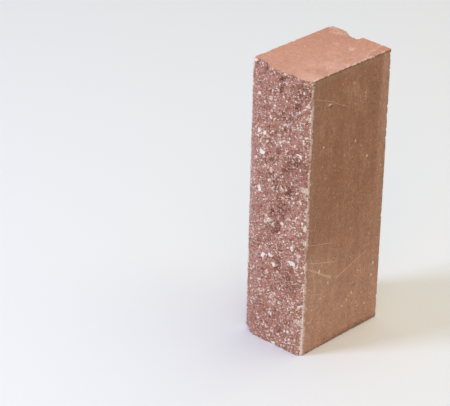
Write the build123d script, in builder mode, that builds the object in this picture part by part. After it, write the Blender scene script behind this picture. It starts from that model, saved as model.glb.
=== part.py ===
from build123d import *
import math
import os
import random

# Hyper-pressed facing brick with one split face, standing on its end.
# X runs between the two bed faces, Y from the split face to the moulded back, Z along the length.
# The origin is the middle of the end that it stands on, halfway from the split arrises to the back.

# Driving dimensions, mm
LENGTH = 250.0
THICKNESS = 65.0
DEPTH = 92.5  # from the moulded back to the two arrises of the split face
ARRIS_RADIUS = 0.8  # edges that the mould leaves

# The split face stands out between its arrises
CROWN = 4.8
CROWN_POWER = 4.0  # a higher power gives a flatter middle and steeper sides
ARRIS_HOLD = 10.0  # a higher power brings the relief of the break nearer to its arrises
POINT_SPACING = 4.0  # between the points that carry the broken surface

# The break leaves a flat on each large stone or clump, tipped and stepped its own way
FLAT_SIZE = 9.5
FLAT_SLOPE = 0.12
FLAT_STEP = 0.5

# Hollows where flakes came off: place across (-1 to 1 between the arrises), place up (0 to 1),
# half the length, half the width, depth, and lean to the right in degrees
HOLLOWS = [
    (0.02, 0.955, 11, 5, 1.3, 25),
    (0.28, 0.840, 18, 6, 2.0, 29),
    (0.42, 0.675, 14, 6, 2.2, 52),
    (0.26, 0.555, 20, 8, 2.4, 24),
    (0.02, 0.450, 20, 9, 2.8, 32),
    (0.15, 0.305, 18, 8, 1.3, 28),
    (-0.35, 0.610, 22, 7, 1.2, 20),
    (-0.55, 0.330, 24, 7, 1.0, 15),
    (0.50, 0.080, 12, 6, 1.9, 35),
    (-0.30, 0.120, 16, 8, 1.1, 30),
    (0.45, 0.995, 7, 5, 2.2, 0),
    (-0.70, 0.990, 9, 9, 5.6, 0),
]

# The splitting blades crush a bevel along both arrises of the split face
BITE_ACROSS = 2.2
BITE_OUT = 2.0

# Chip out of the arris between the top end and the back
CHIP_START = -18.0  # its shallow end, from the middle of the thickness
CHIP_WIDTH = 20.5
CHIP_STEEP = 3.5  # from the deepest place to the steep end
CHIP_IN = 6.8  # into the end
CHIP_DOWN = 11.0  # down the back

# Knocked corners: side across, side in depth, side up, then what is lost along X, Y and Z
CORNERS = [
    (-1, -1, 1, 3.2, 3.0, 2.6),
    (-1, -1, -1, 4.5, 3.0, 4.0),
    (-1, 1, 1, 2.6, 7.0, 2.6),
    (1, 1, -1, 2.0, 2.4, 1.8),
    (1, -1, 1, 1.4, 1.6, 1.5),
]

half_thickness = THICKNESS / 2
half_depth = DEPTH / 2

# Middle of each flat, how it tips across and up, and its step
scatter = random.Random(8)
flats = []
for _ in range(math.ceil(THICKNESS * LENGTH / FLAT_SIZE**2)):
    flat_x = scatter.uniform(-half_thickness, half_thickness)
    flat_z = scatter.uniform(0, LENGTH)
    flats.append((flat_x, flat_z, scatter.uniform(-1, 1), scatter.uniform(-1, 1), scatter.uniform(-1, 1)))


def stand_out(x, z):
    """How far the broken surface stands out beyond its arrises at one place."""
    across = abs(x) / half_thickness
    flat_x, flat_z, tip_x, tip_z, step = min(flats, key=lambda flat: math.hypot(x - flat[0], z - flat[1]))
    relief = FLAT_SLOPE * (tip_x * (x - flat_x) + tip_z * (z - flat_z)) + FLAT_STEP * step
    for place_across, place_up, half_long, half_wide, deep, lean in HOLLOWS:
        dx = x - place_across * half_thickness
        dz = z - place_up * LENGTH
        turn = math.radians(lean)
        along = (dz * math.cos(turn) + dx * math.sin(turn)) / half_long
        beside = (dx * math.cos(turn) - dz * math.sin(turn)) / half_wide
        relief -= deep * math.exp(-((along**2 + beside**2) ** 2))
    # The blades hold the arrises straight, so the relief dies out towards them
    crown = BITE_OUT + (CROWN - BITE_OUT) * (1 - across**CROWN_POWER)
    return crown + relief * max(0.0, 1 - across**ARRIS_HOLD)


# Stone that the split takes off, lofted behind a spline across the broken surface at each height
columns = math.ceil(THICKNESS / POINT_SPACING) + 2
rows = math.ceil(LENGTH / POINT_SPACING) + 2
with BuildPart() as waste:
    for row in range(rows + 1):
        z = LENGTH / 2 + (row - rows / 2) * POINT_SPACING
        across = [(column - columns / 2) * POINT_SPACING for column in range(columns + 1)]
        with BuildSketch(Plane.XY.offset(z)):
            with BuildLine():
                broken = Spline([(x, -half_depth - stand_out(x, z)) for x in across])
                outer = -half_depth - 3 * CROWN
                Polyline(broken @ 1, (across[-1], outer), (across[0], outer), broken @ 0)
            make_face()
    loft(ruled=True)

with BuildPart() as brick:
    # Pressed block, before the split
    with BuildSketch():
        with Locations((0, -CROWN)):
            Rectangle(THICKNESS, DEPTH + 2 * CROWN)
    extrude(amount=LENGTH)
    waste_edges = brick.faces().sort_by(Axis.Y)[0].edges()
    fillet(brick.edges() - waste_edges, ARRIS_RADIUS)
    add(waste.part, mode=Mode.SUBTRACT)

    # Bevels that the blades crush, from the bed faces to the broken surface
    with BuildSketch():
        with BuildLine():
            Polyline(
                (half_thickness + BITE_ACROSS, -half_depth + BITE_OUT),
                (half_thickness - 2 * BITE_ACROSS, -half_depth - 2 * BITE_OUT),
                (half_thickness + BITE_ACROSS, -half_depth - 2 * BITE_OUT),
                close=True,
            )
        make_face()
        mirror(about=Plane.YZ)
    extrude(amount=LENGTH, mode=Mode.SUBTRACT)

    # Chip, scooped from its rim on the end down to where it runs out on the back
    for down, size, reach in ((0.0, 1.0, 1.0), (0.5, 1.0, 0.7), (1.0, 0.8, 0.0)):
        deepest_x = CHIP_START + CHIP_WIDTH - CHIP_STEEP
        deepest_y = half_depth - CHIP_IN * reach
        shallow = (deepest_x - size * (CHIP_WIDTH - CHIP_STEEP), deepest_y + CHIP_IN)
        steep = (deepest_x + size * CHIP_STEEP, deepest_y + CHIP_IN)
        with BuildSketch(Plane.XY.offset(LENGTH - down * CHIP_DOWN)):
            with BuildLine():
                Spline(shallow, (deepest_x, deepest_y), tangents=((1, -0.3), (1, 0)))
                Spline((deepest_x, deepest_y), steep, tangents=((1, 0), (0.2, 1)))
                Line(steep, shallow)
            make_face()
    loft(mode=Mode.SUBTRACT)

    # Corners knocked off
    for side_x, side_y, side_z, lost_x, lost_y, lost_z in CORNERS:
        corner = Vector(side_x * half_thickness, side_y * half_depth, LENGTH / 2 * (1 + side_z))
        facet = Plane(
            origin=corner - Vector(side_x * lost_x, 0, 0),
            z_dir=(side_x / lost_x, side_y / lost_y, side_z / lost_z),
        )
        split(bisect_by=facet, keep=Keep.BOTTOM)

brick.part.label = "brick"
os.makedirs("parts", exist_ok=True)
export_step(brick.part, "parts/brick.step")
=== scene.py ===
import math

import bmesh
import bpy
import numpy as np
from mathutils import Matrix, Vector


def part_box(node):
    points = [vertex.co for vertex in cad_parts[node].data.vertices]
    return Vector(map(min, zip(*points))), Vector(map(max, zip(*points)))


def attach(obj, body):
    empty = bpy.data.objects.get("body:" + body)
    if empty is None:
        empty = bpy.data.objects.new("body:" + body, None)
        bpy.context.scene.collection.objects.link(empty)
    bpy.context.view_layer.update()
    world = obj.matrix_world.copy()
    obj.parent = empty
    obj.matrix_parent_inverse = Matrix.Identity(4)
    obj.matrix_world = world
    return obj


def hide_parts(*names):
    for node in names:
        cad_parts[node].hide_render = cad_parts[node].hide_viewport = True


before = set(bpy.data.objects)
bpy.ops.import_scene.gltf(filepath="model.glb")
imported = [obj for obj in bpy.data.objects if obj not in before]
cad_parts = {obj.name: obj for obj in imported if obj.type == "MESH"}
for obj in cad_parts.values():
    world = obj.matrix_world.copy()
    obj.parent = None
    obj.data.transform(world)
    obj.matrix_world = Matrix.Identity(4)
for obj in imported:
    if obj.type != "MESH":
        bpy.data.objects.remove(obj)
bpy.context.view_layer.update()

# Brick
# One body of cement, pigment and crushed limestone, pressed dry in a steel mould and cured, so that it has
# a dense, smooth skin. Blades then split one long side off, and the broken face shows the stones inside.
MM = 0.001  # m
HALF_THICKNESS, BACK, LENGTH = (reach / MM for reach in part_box("brick")[1])
ARRIS = -BACK  # the split face starts as far in front of the middle as the back lies behind it
FIRST_FACES = 0.55  # mm, size of the first mesh's faces
FACES_KEPT = 0.29  # share of them left after thinning, which falls mostly on the flat skin
SHARP_EDGE = 50  # degrees between two faces, from which their edge isn't smoothed over

body = bpy.data.objects.new("brick_body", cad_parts["brick"].data.copy())
bpy.context.scene.collection.objects.link(body)
body.data.materials.clear()
even = body.modifiers.new("even_mesh", "REMESH")
even.mode = "VOXEL"
even.voxel_size = FIRST_FACES * MM
even.use_smooth_shade = True


def applied(thing):
    """The mesh of an object with its modifiers carried out."""
    ready = bpy.data.meshes.new_from_object(thing.evaluated_get(bpy.context.evaluated_depsgraph_get()))
    thing.modifiers.clear()
    return ready


body.data = applied(body)

# How broken the surface is at each point: 0 on the skin, 1 where the stone is torn open. The skin lies
# against a wall of the mould and faces it.
SKIN = 0.35  # mm from a wall within which the skin is whole. At twice as far it has ended
FACES_WALL = (0.45, 0.70)  # how squarely a point faces its wall where the skin starts, and where it is whole
count = len(body.data.vertices)
place = np.zeros(count * 3)
facing = np.zeros(count * 3)
body.data.vertices.foreach_get("co", place)
body.data.vertex_normals.foreach_get("vector", facing)
place = place.reshape(-1, 3) / MM
facing = facing.reshape(-1, 3)
walls = (
    (HALF_THICKNESS - place[:, 0], facing[:, 0]),
    (HALF_THICKNESS + place[:, 0], -facing[:, 0]),
    (BACK - place[:, 1], facing[:, 1]),
    (LENGTH - place[:, 2], facing[:, 2]),
    (place[:, 2], -facing[:, 2]),
)
pressed = np.zeros(count)
for distance, towards in walls:
    near = np.interp(distance, (SKIN, 2 * SKIN), (1, 0))
    square = np.interp(towards, FACES_WALL, (0, 1))
    pressed = np.maximum(pressed, near * square)
body.data.attributes.new("broken", "FLOAT", "POINT").data.foreach_set("value", 1 - pressed)


class Field:
    """A value that varies over the stone, held by a node's socket. Arithmetic on it adds Math nodes."""

    def __init__(self, tree, socket=None):
        self.tree = tree
        self.socket = socket

    def node(self, kind, settings=None, inputs=None, output=0):
        """Adds a node of any kind: its settings first, then the values or links of its sockets."""
        made = self.tree.nodes.new(kind)
        for name, value in (settings or {}).items():
            setattr(made, name, value)
        for name, value in (inputs or {}).items():
            if isinstance(value, Field):
                self.tree.links.new(value.socket, made.inputs[name])
            else:
                made.inputs[name].default_value = value
        return Field(self.tree, None if output is None else made.outputs[output])

    def out(self, name):
        """Another output of the same node."""
        return Field(self.tree, self.socket.node.outputs[name])

    def math(self, operation, *values):
        return self.node("ShaderNodeMath", {"operation": operation}, dict(enumerate(values)))

    def __add__(self, other):
        return self.math("ADD", self, other)

    def __sub__(self, other):
        return self.math("SUBTRACT", self, other)

    def __rsub__(self, other):
        return self.math("SUBTRACT", other, self)

    def __mul__(self, other):
        return self.math("MULTIPLY", self, other)

    def __truediv__(self, other):
        return self.math("DIVIDE", self, other)

    def __rtruediv__(self, other):
        return self.math("DIVIDE", other, self)

    __radd__ = __add__
    __rmul__ = __mul__

    def least(self, other):
        return self.math("MINIMUM", self, other)

    def most(self, other):
        return self.math("MAXIMUM", self, other)

    def unsigned(self):
        """This value without its sign."""
        return self.math("ABSOLUTE", self)

    def uneven(self, noise, spread):
        """This value moved to and fro by noise, over that spread where the noise runs from 0 to 1."""
        return self + (noise - 0.5) * spread

    def rise(self, start, end):
        """0 before start, 1 after end, smooth between. It falls where start is past end."""
        settings = {"interpolation_type": "SMOOTHSTEP"}
        inputs = {"Value": self, "From Min": start, "From Max": end, "To Min": 0.0, "To Max": 1.0}
        return self.node("ShaderNodeMapRange", settings, inputs)

    def vector(self, operation, *values, output=0):
        settings = {"operation": operation}
        return self.node("ShaderNodeVectorMath", settings, dict(enumerate(values)), output)

    def mix(self, first, second):
        """Colours or vectors, blended by this field."""
        colour_a, colour_b, colour_out = 6, 7, 2  # the node has sockets of the same names for other kinds
        inputs = {"Factor": self, colour_a: first, colour_b: second}
        return self.node("ShaderNodeMix", {"data_type": "RGBA"}, inputs, colour_out)

    def tint(self, colour, first, second):
        """A colour multiplied by three numbers where this field is 0, and by three others where it is 1."""
        return self.vector("MULTIPLY", colour, self.mix((*first, 1), (*second, 1)))

    def squeezed(self, share):
        """This place with its height multiplied, so that what lies there is drawn out or flattened."""
        return self.vector("MULTIPLY", self, (1.0, 1.0, share))

    def noise(self, size, detail=3.0, roughness=0.5, output=0):
        """Cloudy noise about 0.5 with features of that size in mm, where this field is a place in mm."""
        inputs = {"Vector": self, "Scale": 1 / size, "Detail": detail, "Roughness": roughness}
        return self.node("ShaderNodeTexNoise", {"noise_dimensions": "3D"}, inputs, output)

    def stones(self, size, seed):
        """Stones of that size in mm, packed together.

        It gives a random colour for each stone, and the place measured from its middle, in stones.
        """
        moved = self.vector("MULTIPLY_ADD", self, (1 / size,) * 3, (seed, seed * 0.7, seed * 1.3))
        inputs = {"Vector": moved, "Scale": 1.0}
        cells = self.node("ShaderNodeTexVoronoi", {"feature": "F1"}, inputs, "Color")
        return cells, moved.vector("SUBTRACT", moved, cells.out("Position"))

    def parts(self):
        """The three numbers of a vector or a colour."""
        split = self.node("ShaderNodeSeparateXYZ", None, {0: self})
        return split, split.out("Y"), split.out("Z")


# The crushed stone in three sizes: size in mm, and the seed that packs it
LARGE_STONES = (3.4, 7.7)
SMALL_STONES = (1.6, 1.4)
GRIT = (0.9, 21.0)
# The flats that stones leave on the break: which stones, how steep a flat is, and its step in mm
FLATS = (
    (LARGE_STONES, 0.24, 0.34),
    (SMALL_STONES, 0.38, 0.26),
)
BEND = 1.2  # mm by which the stones' sides wander
CRUMBLE = 0.35  # mm of relief finer than the stones
NICKS_ABOVE = 0.52  # noise at which a nick starts. It seldom passes 0.67
NICK_DEPTH = 7.0  # mm, if noise were 1 higher than that, so that nicks are up to 1 mm deep
NICK_REACH = 2.2  # mm from an arris


def bent(rest):
    """The place in mm, bent so that no stone has straight sides."""
    return rest.vector("MULTIPLY_ADD", rest.noise(3.0, 3.0, output="Color"), (BEND,) * 3, rest)


def break_relief(rest):
    """Height of the broken face in mm: each stone leaves its own small flat, tipped and stepped."""
    packed = bent(rest)
    relief = 0.0
    for (size, seed), slope, step in FLATS:
        colour, offset = packed.stones(size, seed)
        tip = colour.vector("SUBTRACT", colour, (0.5,) * 3)
        flat = tip.vector("DOT_PRODUCT", tip, offset, output="Value")
        relief = relief + flat * (2 * size * slope) + (colour.parts()[0] - 0.5) * step
    return relief.uneven(rest.noise(1.6, 4.0, 0.6), CRUMBLE)


def from_walls(rest):
    """Distances in mm from the nearer bed face, the back, the nearer end, and the split arrises."""
    x, y, z = rest.parts()
    return HALF_THICKNESS - x.unsigned(), BACK - y, z.least(LENGTH - z), y - ARRIS


def from_arris(side, back, end, front):
    """Distance in mm from the nearest arris, out of the distances from the walls."""
    pressed = side.least(back).most(side.most(back).least(end))
    return pressed.least(side + front.most(0.0) * 0.8)


def nicks(rest):
    """Depth in mm of the small losses along the arrises."""
    spots = rest.noise(5.0, 4.0, 0.6)
    near_arris = from_arris(*from_walls(rest)).rise(NICK_REACH, 0.2)
    return (spots - NICKS_ABOVE).most(0.0) * NICK_DEPTH * near_arris


# The relief is raised on the mesh itself. Each point keeps its place from before that, "rest" in mm, so that
# the stones' colours below fall on their own flats.
relief_tree = bpy.data.node_groups.new("break_relief", "GeometryNodeTree")
relief_tree.interface.new_socket("Mesh", in_out="INPUT", socket_type="NodeSocketGeometry")
relief_tree.interface.new_socket("Mesh", in_out="OUTPUT", socket_type="NodeSocketGeometry")
start = Field(relief_tree)
position = start.node("GeometryNodeInputPosition")
rest = position.vector("MULTIPLY", position, (1 / MM,) * 3)
broken = start.node(
    "GeometryNodeInputNamedAttribute",
    {"data_type": "FLOAT"},
    {"Name": "broken"},
    "Attribute",
)
kept = start.node(
    "GeometryNodeStoreNamedAttribute",
    {"data_type": "FLOAT_VECTOR", "domain": "POINT"},
    {"Geometry": start.node("NodeGroupInput"), "Name": "rest", "Value": rest},
)
side, _, _, _ = from_walls(rest)
calmer_at_arris = side.rise(-1.0, 6.0) * 0.85 + 0.15
height = break_relief(rest) * broken * calmer_at_arris - nicks(rest)
push = start.node(
    "ShaderNodeVectorMath",
    {"operation": "SCALE"},
    {0: start.node("GeometryNodeInputNormal"), "Scale": height * MM},
)
moved = start.node("GeometryNodeSetPosition", None, {"Geometry": kept, "Offset": push})
start.node("NodeGroupOutput", None, {0: moved}, None)

body.modifiers.new("break_relief", "NODES").node_group = relief_tree
body.modifiers.new("thinned", "DECIMATE").ratio = FACES_KEPT
body.data = applied(body)
body.data.set_sharp_from_angle(angle=math.radians(SHARP_EDGE))

# The skin's colours. The ends are salmon red with a painted sheen, and the beds and the back are browner.
END_SKIN = (0.572, 0.291, 0.203, 1)
END_RED = (0.530, 0.255, 0.175, 1)
END_SHEEN = (0.700, 0.412, 0.328, 1)
BED_UPPER = (0.344, 0.157, 0.078, 1)
BED_LOWER = (0.525, 0.280, 0.175, 1)
BED_BLOOM = (0.492, 0.278, 0.172, 1)
BED_DULL = (0.353, 0.189, 0.108, 1)
BED_DUST = (0.556, 0.329, 0.205, 1)
BED_GRIME = (0.200, 0.088, 0.050, 1)
FOOT_SHADE_AND_DIRT = (0.100, 0.060, 0.034, 1)
WORN = (0.88, 0.68, 0.59, 1)
SCUFF = (0.72, 0.47, 0.30, 1)
CHIP_PALE = (0.88, 0.64, 0.44, 1)
PIT_SHADE = (0.150, 0.080, 0.048, 1)
CEMENT_MAUVE = (0.470, 0.201, 0.146, 1)  # shows where the skin is off, and on the broken face
# Tint of a painted shadow on the bed just under the upper arris, where its lip overhangs
ARRIS_SHADOW_TINT = (0.62, 0.58, 0.54)  # tint
FLAKED = (0.95, 0.90, 0.87)  # tint
PLAIN = (1.0, 1.0, 1.0)  # a tint that changes nothing

# Grains that show through the skin: size in mm, the share that shows, their tint, seed
GRAINS = (
    (1.4, 0.035, (1.40, 1.65, 1.90), 11.0),
    (2.0, 0.018, (1.70, 2.20, 2.70), 5.0),
    (1.8, 0.020, (1.40, 1.38, 1.30), 3.0),
    (1.9, 0.012, (0.62, 0.60, 0.58), 8.0),
)
# Dusty place on the bed: back from the middle and up in mm, and half its width
DUSTY = (-40.0, 66.0, 34.0)
# Scratches on the bed: from and to, back from the middle and up in mm, with the half width at each end
SCRATCHES = (
    (-45, 234, -20, 224, 0.15, 0.2),
    (-22, 224, -2, 214, 0.2, 0.15),
    (-46, 104, -15, 95, 0.2, 0.2),
    (-45, 87, -9, 75, 0.4, 0.3),
    (-45, 82, -14, 62, 0.4, 1.1),
    (-40, 89, -34, 58, 0.3, 0.2),
    (-10, 59, 28, 71, 0.4, 0.3),
    (-42, 56, -25, 51, 0.2, 0.2),
    (21, 60, 24, 50, 0.3, 0.3),
    (28, 57, 27, 49, 0.3, 0.3),
    (34, 57, 33, 49, 0.4, 0.3),
    (-44, 31, -38, 29, 0.7, 0.5),
    (-40, 28, -35, 33, 0.5, 0.5),
)
SCRATCH_END = 2.0  # mm over which a scratch runs out
# Pale chips on the bed: back from the middle and up in mm, half width, half height
CHIPS = (
    (-30.0, 74.0, 1.0, 2.2),
    (-18.2, 59.0, 0.5, 1.8),
    (12.5, 37.1, 0.8, 1.3),
    (6.5, 32.7, 0.8, 0.8),
    (29.6, 19.9, 0.9, 0.9),
    (37.5, 26.0, 1.0, 0.6),
    (36.7, 44.9, 1.1, 1.1),
    (38.4, 55.9, 0.9, 1.6),
    (-26.0, 223.5, 2.4, 0.6),
    (-31.2, 187.7, 0.8, 0.8),
    (7.4, 180.7, 0.6, 1.4),
    (22.6, 162.0, 1.0, 1.2),
    (24.9, 32.6, 0.6, 0.6),
    (-21.0, 19.3, 0.5, 0.7),
)
# Pits in the bed, not cut but darkened with painted shade, given as the chips are
SHADED_PITS = (
    (14.8, 44.0, 1.5, 1.3),
    (-16.1, 26.4, 0.9, 1.0),
    (-19.4, 5.2, 1.4, 1.3),
    (-24.0, 221.2, 3.5, 1.0),
    (20.0, 4.0, 1.6, 1.0),
)
# Rubbed places on the upper end: place across and back from the middle in mm, half width, half depth
RUBBED = (
    (-26, 43, 6, 3),
    (-17, 39, 8, 5),
    (25, 31, 2.5, 6),
    (-4, 20, 3, 3),
    (11.5, 22, 3, 4),
)
FLAKE_EDGE = 32.0  # mm across from the middle, the rim of the flake where it starts
FLAKE_WIDENS = 8.5  # mm, how much nearer to the middle its rim lies at the back corner


def oval(across, along, half_width, half_length):
    """Squared distance from the middle of an oval place, where 1 is its edge."""
    across, along = across / half_width, along / half_length
    return across * across + along * along


def leaning(across, up, lean):
    """The same two distances, measured on a thing that leans to the right by so many degrees."""
    turn = math.radians(lean)
    return across * math.cos(turn) - up * math.sin(turn), up * math.cos(turn) + across * math.sin(turn)


stone = bpy.data.materials.new("pressed_stone")
stone.use_nodes = True
stone.node_tree.nodes.clear()
start = Field(stone.node_tree)
rest = start.node("ShaderNodeAttribute", {"attribute_name": "rest"}, None, "Vector")
broken = start.node("ShaderNodeAttribute", {"attribute_name": "broken"}, None, "Fac")
x, y, z = rest.parts()  # across, back and up, in mm, as all distances below
side, back, end, front = from_walls(rest)
on_end = end.rise(0.7, 0.3)
upper_end = end.rise(3.0, 1.0) * z.rise(100.0, 150.0)
on_bed = x.rise(30.0, 31.0)  # the bed at the right of the split face

# Beds and back: paler towards the foot, in part painted light thrown up by the floor; duller beside the
# split and under the upper end, soiled at the foot
clouds = rest.squeezed(0.5).noise(13.0, 5.0, 0.62)
streaks = rest.squeezed(0.2).noise(2.5, 3.0, 0.6)
mottle = rest.noise(3.0, 5.0, 0.75)
bed = z.uneven(clouds, 160.0).rise(150.0, -10.0).mix(BED_UPPER, BED_LOWER)
bed = ((clouds * 0.6 + streaks * 0.4).rise(0.48, 0.68) * 0.4).mix(bed, BED_BLOOM)
beside_split = front.uneven(clouds, 50.0).uneven(mottle, 12.0).rise(22.0, 2.0) * z.rise(60.0, 160.0)
under_end = (LENGTH - z).uneven(mottle, 8.0).rise(7.5, 4.0)
bed = (beside_split * 0.4).most(under_end * 0.8).mix(bed, BED_DULL)
dust_back, dust_up, dust_reach = DUSTY
dusty = oval(y - dust_back, z - dust_up, dust_reach, dust_reach).uneven(mottle, 2.0).rise(1.2, 0.2)
bed = (dusty * 0.3).mix(bed, BED_DUST)
paler = z.rise(40.0, 120.0) * 0.45 + z.rise(150.0, 220.0) * 0.30
bed = (back.uneven(clouds, 14.0).rise(13.0, 7.0) * paler).mix(bed, BED_BLOOM)
soiled = z.uneven(mottle, 9.0).rise(6.5, 1.0) * y.rise(-40.0, 0.0)
bed = (soiled * 0.6).mix(bed, BED_GRIME)
bed = rest.noise(1.7, 4.0, 0.7).rise(0.30, 0.70).tint(bed, (0.90, 0.89, 0.88), (1.10, 1.11, 1.12))
pressed_streaks = rest.squeezed(0.12).noise(8.0, 3.0, 0.5).rise(0.32, 0.68)
bed = pressed_streaks.tint(bed, (0.94, 0.93, 0.92), (1.05, 1.06, 1.07))
bed = rest.noise(9.0, 4.0, 0.6).rise(0.30, 0.70).tint(bed, (0.93, 0.93, 0.93), (1.07, 1.07, 1.07))
# A painted shadow on the bed just under the upper arris
past_arris_shadow = (LENGTH - z).rise(1.2, 2.4)
bed = past_arris_shadow.most(on_end).tint(bed, ARRIS_SHADOW_TINT, PLAIN)

# Ends: redder towards the back, and paler towards the bed at the front, where a sheen is painted. Mottle and
# fine grain lie over it all.
redder = (y - x).uneven(clouds, 60.0).rise(-20.0, 70.0)
sheen_place = x.rise(-6.0, 26.0) * y.rise(30.0, 0.0) * clouds.rise(0.30, 0.60)
ends = (sheen_place * 0.6).mix(redder.mix(END_SKIN, END_RED), END_SHEEN)
skin = on_end.mix(bed, ends)
skin = mottle.rise(0.30, 0.70).tint(skin, (0.90, 0.885, 0.87), (1.10, 1.11, 1.12))
skin = clouds.rise(0.30, 0.70).tint(skin, (0.95, 0.95, 0.95), (1.04, 1.04, 1.04))
grain = rest.noise(1.0, 4.0, 0.8)
skin = grain.rise(0.22, 0.78).tint(skin, (0.72, 0.71, 0.71), (1.28, 1.28, 1.28))
for size, share, lift, seed in GRAINS:
    cell, offset = rest.stones(size, seed)
    chance, reach, _ = cell.parts()
    away = offset.vector("LENGTH", offset, output="Value")
    dot = chance.rise(0.98 - share, 1 - share) * (away - reach * 0.30).rise(0.26, 0.08)
    skin = (dot * (1 - on_end * 0.5)).tint(skin, PLAIN, lift)

# Scratches, chips and pits in the bed
scratched = 0.0
for from_y, from_z, to_y, to_z, half_start, half_end in SCRATCHES:
    long = math.hypot(to_y - from_y, to_z - from_z)
    run_y, run_z = (to_y - from_y) / long, (to_z - from_z) / long
    along = (y - from_y) * run_y + (z - from_z) * run_z
    off = ((y - from_y) * run_z - (z - from_z) * run_y).uneven(rest.noise(9.0, 2.0), 1.5)
    half_width = along * ((half_end - half_start) / long) + half_start
    line = (off.unsigned() / half_width).rise(1.7, 0.5)
    line = line * along.rise(0.0, SCRATCH_END) * along.rise(long, long - SCRATCH_END)
    scratched = line.most(scratched)
scratched = scratched * rest.noise(1.2, 3.0, 0.7).rise(0.26, 0.56)
skin = (scratched * on_bed * 0.75).mix(skin, SCUFF)
# The pits are not cut: their dark colour is painted shade
for losses, shade, strength in ((CHIPS, CHIP_PALE, 0.85), (SHADED_PITS, PIT_SHADE, 0.60)):
    lost = 0.0
    for place_y, place_z, half_width, half_height in losses:
        beside, above = (y - place_y).uneven(mottle, 2.0), (z - place_z).uneven(grain, 1.0)
        lost = oval(beside, above, half_width, half_height).rise(1.5, 0.3).most(lost)
    skin = (lost * on_bed * strength).mix(skin, shade)
    scratched = scratched.most(lost)
scratched = scratched * on_bed

# Upper end: rubbed places, and a pale rim where a thin flake came off beside the arris, as far as the corner
ragged = rest.noise(2.2, 5.0, 0.75)
rubbed = 0.0
for place_x, place_y, half_width, half_depth in RUBBED:
    rubbed = oval(x - place_x, y - place_y, half_width, half_depth).rise(1.6, 0.3).most(rubbed)
flaked = (x - FLAKE_EDGE + y.rise(12.0, 36.0) * FLAKE_WIDENS).uneven(ragged, 4.0)
beside_arris = upper_end * y.rise(12.0, 17.0)
skin = (flaked.rise(-0.6, 0.6) * beside_arris).tint(skin, PLAIN, FLAKED)
rubbed = (rubbed * upper_end).most(flaked.unsigned().rise(1.5, 0.3) * beside_arris)
pitted = rubbed * rest.noise(1.3, 3.0, 0.7).rise(0.50, 0.42)
skin = (pitted * 0.5).mix(skin, CEMENT_MAUVE)

# Worn arrises, and a dark band along the foot, darkest towards the split: dirt that the brick took up where
# it stands, and painted shade in the small nicks there
worn = from_arris(side, back, end, front).uneven(ragged, 7.0).uneven(rest.noise(7.0, 2.0), 4.0)
worn = worn.rise(0.9, 0.2) * (z.rise(0.0, 3.0) * 0.8 + 0.2)
worn = worn.most(rubbed * ragged.rise(0.44, 0.58) * 0.7)
skin = (worn * 0.62).mix(skin, WORN)
darker_at_foot = z.uneven(ragged, 9.0).rise(1.8, 0.4) * (y.rise(-8.0, -20.0) * 0.7 + 0.3)
skin = (darker_at_foot * (1 - on_end) * 0.8).mix(skin, FOOT_SHADE_AND_DIRT)

# The broken face's colours. It is mauve cement with pale limestone in it, and powdery where the blades
# crushed each arris.
CEMENT_DARK = (0.167, 0.060, 0.036, 1)
CEMENT_BROWN = (0.296, 0.109, 0.065, 1)
CEMENT_COOL = (0.560, 0.325, 0.300, 1)
CEMENT_PINK = (0.660, 0.365, 0.280, 1)
LIMESTONE = (1.00, 0.90, 0.78, 1)
WHITE_STONE = (1.00, 0.94, 0.86, 1)
CREAM_STONE = (0.80, 0.59, 0.46, 1)
OCHRE_STONE = (0.546, 0.277, 0.152, 1)
POWDER_WARM = (0.98, 0.85, 0.72, 1)
POWDER_COOL = (0.97, 0.86, 0.82, 1)
BARE_CEMENT = (0.84, 0.80, 0.76)  # tint
# Tint of the painted shade in the crevices
CREVICE_SHADE = (0.61, 0.50, 0.44)  # tint
CROWN = 4.8  # mm, how far the face stands out beyond its arrises along the middle
BEVEL_OUT = 2.0  # mm, how far it stands out where the bevels start

# Browner places with fewer pale stones: place across and up in mm, half width, half height
BARE = (
    (19, 166, 13, 20),
    (18, 66, 11, 14),
    (23, 238, 11, 10),
)
# Crevices between the stones, darkened with painted shade: place across and up in mm, half length, half
# width, lean to the right
SHADED_CREVICES = (
    (4.0, 244, 8, 3, 60),
    (3.0, 235, 7, 3, 20),
    (21.0, 225, 6, 4, 40),
    (14.0, 214, 7, 4, 35),
    (7.0, 199, 8, 3, 30),
    (2.0, 179, 6, 4, 20),
    (-5.0, 170, 5, 3, 30),
    (21.0, 175, 7, 4, 45),
    (9.0, 165, 6, 3, 60),
    (0.0, 150, 8, 5, 0),
    (15.0, 148, 7, 4, 20),
    (7.0, 130, 6, 3, 25),
    (0.0, 108, 8, 5, 30),
    (4.0, 75, 8, 4, 20),
    (17.0, 70, 6, 3, 20),
)
# Larger pale stones laid open by the split: place across and up in mm, half width, half height, lean
OPEN_STONES = (
    (-15.5, 174, 3.0, 1.7, 20),
    (-18.5, 139, 1.6, 2.9, -15),
    (-11.5, 80, 1.7, 2.7, 25),
    (20.5, 84, 2.8, 1.5, -8),
    (6.5, 115, 1.5, 1.0, 0),
    (-29.4, 248.4, 2.0, 1.4, -25),
)

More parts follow.
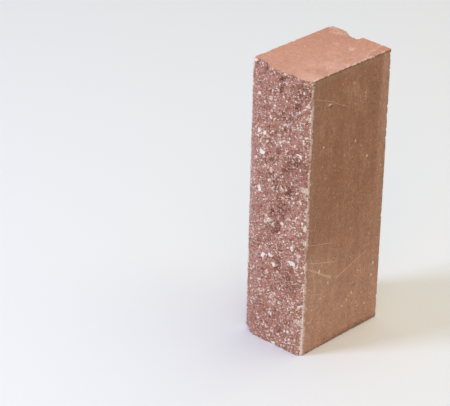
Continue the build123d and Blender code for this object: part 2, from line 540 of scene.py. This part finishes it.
# Cement with grit in it, cooler and powdery towards the left
packed = bent(rest)
flattened = rest.squeezed(1.25)
tone = rest.noise(8.0, 4.0, 0.6)
open_face = tone.rise(0.36, 0.64).mix(CEMENT_BROWN, CEMENT_MAUVE)
midway = z.rise(90.0, 120.0) * z.rise(200.0, 170.0)
powdered = x.uneven(tone, 30.0).rise(-12.0, -34.0) * (midway * 0.35 + 0.35)
open_face = powdered.mix(open_face, CEMENT_COOL)
for where, stones, strength in ((packed, SMALL_STONES, 0.46), (flattened, GRIT, 0.50)):
    cell, _ = where.stones(*stones)
    _, _, shade = cell.parts()
    open_face = (shade.rise(0.15, 1.0) * strength).mix(open_face, CEMENT_PINK)
    open_face = (shade.rise(0.16, 0.06) * strength).mix(open_face, CEMENT_DARK)
bare = 0.0
for place_x, place_z, half_width, half_height in BARE:
    bare = oval(x - place_x, z - place_z, half_width, half_height).rise(1.4, 0.2).most(bare)
open_face = bare.tint(open_face, PLAIN, BARE_CEMENT)

# Pale stones, the larger over the smaller: where, which stones, and the chance above which a stone shows
# faintly and clearly
SHOWN = (
    (flattened, GRIT, 0.84, 0.93),
    (packed, SMALL_STONES, 0.885, 0.935),
    (packed, LARGE_STONES, 0.986, 0.990),
)
rich = (rest.noise(13.0, 3.0) - 0.5) * 0.22 + x * 0.0006 - bare * 0.03
stones_shown = 0.0
for where, stones, faint, clear in SHOWN:
    cell, _ = where.stones(*stones)
    chance, kind, _ = cell.parts()
    shown = (chance + rich).rise(faint, clear)
    colour = kind.rise(0.25, 0.70).mix(CREAM_STONE, LIMESTONE)
    colour = kind.rise(0.12, 0.06).mix(colour, OCHRE_STONE)
    open_face = (shown * (0.95 - powdered * 0.45)).mix(open_face, colour)
    stones_shown = shown.most(stones_shown)

# Painted shade in the crevices, deeper where the break lies behind its crown, which falls off towards the
# arrises
across = x * (1 / HALF_THICKNESS)
fall = across * across * (across * across)
hollow = front + CROWN - (CROWN - BEVEL_OUT) * fall - break_relief(rest)
crevice_shade = 0.0
for place_x, place_z, half_length, half_width, lean in SHADED_CREVICES:
    beside, along = leaning(x - place_x, z - place_z, lean)
    crevice_shade = (oval(beside, along, half_width, half_length) * -1.2 + 1.2).most(crevice_shade)
crevice_shade = (crevice_shade + hollow * 0.22).uneven(rest.noise(2.6, 5.0, 0.8), 3.2)
crevice_shade = crevice_shade.rise(0.40, 1.15) * side.rise(1.0, 3.0) * front.rise(16.0, 10.0)
crevice_shade = crevice_shade * x.rise(-24.0, -14.0).most(z.rise(240.0, 232.0))
open_face = crevice_shade.tint(open_face, PLAIN, CREVICE_SHADE)

# Stones laid open, with ragged sides
wobble = rest.noise(2.0, 3.0, 0.6) - 0.5
for place_x, place_z, half_width, half_height, lean in OPEN_STONES:
    beside, above = leaning(x - place_x + wobble * 2.4, z - place_z - wobble * 2.4, lean)
    inside = (beside / half_width).unsigned().most((above / half_height).unsigned())
    shown = inside.rise(1.08, 0.92) * front.rise(3.0, 2.0)
    open_face = (shown * 0.95).mix(open_face, WHITE_STONE)
    stones_shown = shown.most(stones_shown)

# Lines of powder where the blades crushed the arrises. The left one is wider.
LINE_WIDTH = 0.495  # mm, on average
LINE_SPREAD = 4.95  # mm, how much noise from 0 to 1 widens it
LEFT_WIDER = 2.1  # mm
FOOT_WIDER = 1.0  # mm, at the right, near the foot
# Places where the right line is wider: place up in mm, half height, how much wider in mm
WIDE_PLACES = (
    (154, 2.6, 5.0),
    (106, 2.0, 2.0),
    (84, 1.6, 2.0),
    (32, 2.6, 6.5),
    (216, 1.6, 2.0),
    (10, 12, 0.6),
)
on_right = x.rise(0.0, 1.0)
width = (x.rise(1.0, -1.0) * LEFT_WIDER + LINE_WIDTH).uneven(rest.noise(3.0, 5.0, 0.8), LINE_SPREAD)
width = width + z.rise(80.0, 20.0) * on_right * FOOT_WIDER
for place_z, half_height, wider in WIDE_PLACES:
    near = (z - place_z + wobble * 5.0) / half_height
    width = width + (near * near).rise(1.5, 0.0) * on_right * wider
line = (side - width).rise(0.4, -0.3) * front.rise(2.2, 1.0)
crumbs = rest.noise(1.4, 3.0, 0.7)
powder = crumbs.rise(0.40, 0.56).mix(CEMENT_PINK, x.rise(-1.0, 1.0).mix(POWDER_COOL, POWDER_WARM))
powder = side.rise(1.6, 0.7).mix(powder, LIMESTONE)
open_face = (line * crumbs.rise(0.25, 0.40) * 0.95).mix(open_face, powder)

# Matt all over, and rougher where it is broken. The bump is only what is finer than the mesh.
torn = broken.uneven(rest.noise(1.2, 3.0, 0.6), 0.5).rise(0.35, 0.65)
fine = rest.noise(0.6, 4.0, 0.75)
height = torn * (fine * 0.30 + stones_shown * 0.10) + (1 - torn) * (grain * 0.05 - scratched * 0.03)
surface = start.node("ShaderNodeBsdfPrincipled", None, {
    "Base Color": torn.mix(skin, open_face),
    "Roughness": (torn * 0.25 + 0.62).uneven(grain, 0.15),
    "Normal": start.node("ShaderNodeBump", None, {"Strength": 1.0, "Distance": MM, "Height": height}),
    "Specular IOR Level": 0.35,
})
start.node("ShaderNodeOutputMaterial", None, {"Surface": surface}, None)
body.data.materials.append(stone)
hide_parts("brick")
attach(body, "root")

# Floor
# A wide, pale sheet of matt paper, laid flat as in a small studio. It takes the brick's shadow and throws a
# little light back up at it.
FLOOR_HALF = 6.0  # m
PAPER = (0.885, 0.912, 0.925, 1)
paper = bmesh.new()
bmesh.ops.create_grid(paper, x_segments=24, y_segments=24, size=FLOOR_HALF)
sheet = bpy.data.meshes.new("floor")
paper.to_mesh(sheet)
paper.free()
floor = bpy.data.objects.new("floor", sheet)
bpy.context.scene.collection.objects.link(floor)
pale = bpy.data.materials.new("pale_paper")
pale.use_nodes = True
matt = pale.node_tree.nodes["Principled BSDF"]
matt.inputs["Base Color"].default_value = PAPER
matt.inputs["Roughness"].default_value = 0.9
floor.data.materials.append(pale)

# Light
# Cool daylight comes from a window at the left of the view and, weaker, from all round, which fills the
# shadows. A wide, warm lamp hangs overhead, and another stands at the right of the camera. The camera and
# reflections see a pale backdrop in place of the daylight.
DAYLIGHT = (0.77, 0.82, 1.0, 1)
DAYLIGHT_STRENGTH = 0.46
BACKDROP = (0.84, 0.84, 0.86, 1)
world = bpy.data.worlds.new("studio")
bpy.context.scene.world = world
world.use_nodes = True
world.node_tree.nodes.clear()
start = Field(world.node_tree)
ray = start.node("ShaderNodeLightPath", None, None, "Is Camera Ray")
seen = ray.most(ray.out("Is Glossy Ray")).most(ray.out("Is Transmission Ray"))
lit = start.node("ShaderNodeBackground", None, {"Color": DAYLIGHT, "Strength": DAYLIGHT_STRENGTH})
pale_back = start.node("ShaderNodeBackground", None, {"Color": BACKDROP, "Strength": 1.0})
both = start.node("ShaderNodeMixShader", None, {0: seen, 1: lit, 2: pale_back})
start.node("ShaderNodeOutputWorld", None, {"Surface": both}, None)


def softbox(name, place, size, power, colour):
    """A square lamp of that size in m and power in W, which faces the brick's middle."""
    lamp = bpy.data.lights.new(name, "AREA")
    lamp.shape = "SQUARE"
    lamp.size = size
    lamp.energy = power
    lamp.color = colour
    holder = bpy.data.objects.new(name, lamp)
    holder.location = place
    towards = Vector((0, 0, LENGTH * MM / 2)) - holder.location
    holder.rotation_euler = towards.to_track_quat("-Z", "Y").to_euler()
    bpy.context.scene.collection.objects.link(holder)


softbox("overhead", Vector((0.3, 0.6, 2.4)), 2.0, 25, (1.0, 0.87, 0.46))
softbox("window", Vector((-0.81, -1.40, 1.38)), 0.5, 21, (0.61, 0.72, 1.0))
softbox("room", Vector((1.6, -1.8, 2.2)), 1.6, 18, (1.0, 0.67, 0.37))

# Camera
# It stands 1.8 m off at the brick's front right and looks down through a long lens, on the arris between the
# split face and a bed. Its place and turns make the brick's corners fall as in the photograph.
CAMERA_PLACE = Vector((1.0354, -1.1815, 0.9434))
CAMERA_TURN = 43.986  # degrees, as the next two
CAMERA_DOWN = 27.910
CAMERA_ROLL = 1.223
CAMERA_LENS = 171.7  # mm
FAR_CLIP = 50  # m
camera = bpy.data.objects.new("camera", bpy.data.cameras.new("camera"))
bpy.context.scene.collection.objects.link(camera)
bpy.context.scene.camera = camera
camera.data.lens = CAMERA_LENS
camera.data.clip_end = FAR_CLIP
camera.matrix_world = (
    Matrix.Translation(CAMERA_PLACE)
    @ Matrix.Rotation(math.radians(CAMERA_TURN), 4, "Z")
    @ Matrix.Rotation(math.radians(90 - CAMERA_DOWN), 4, "X")
    @ Matrix.Rotation(math.radians(CAMERA_ROLL), 4, "Z")
)

bpy.context.scene.view_settings.view_transform = "Standard"
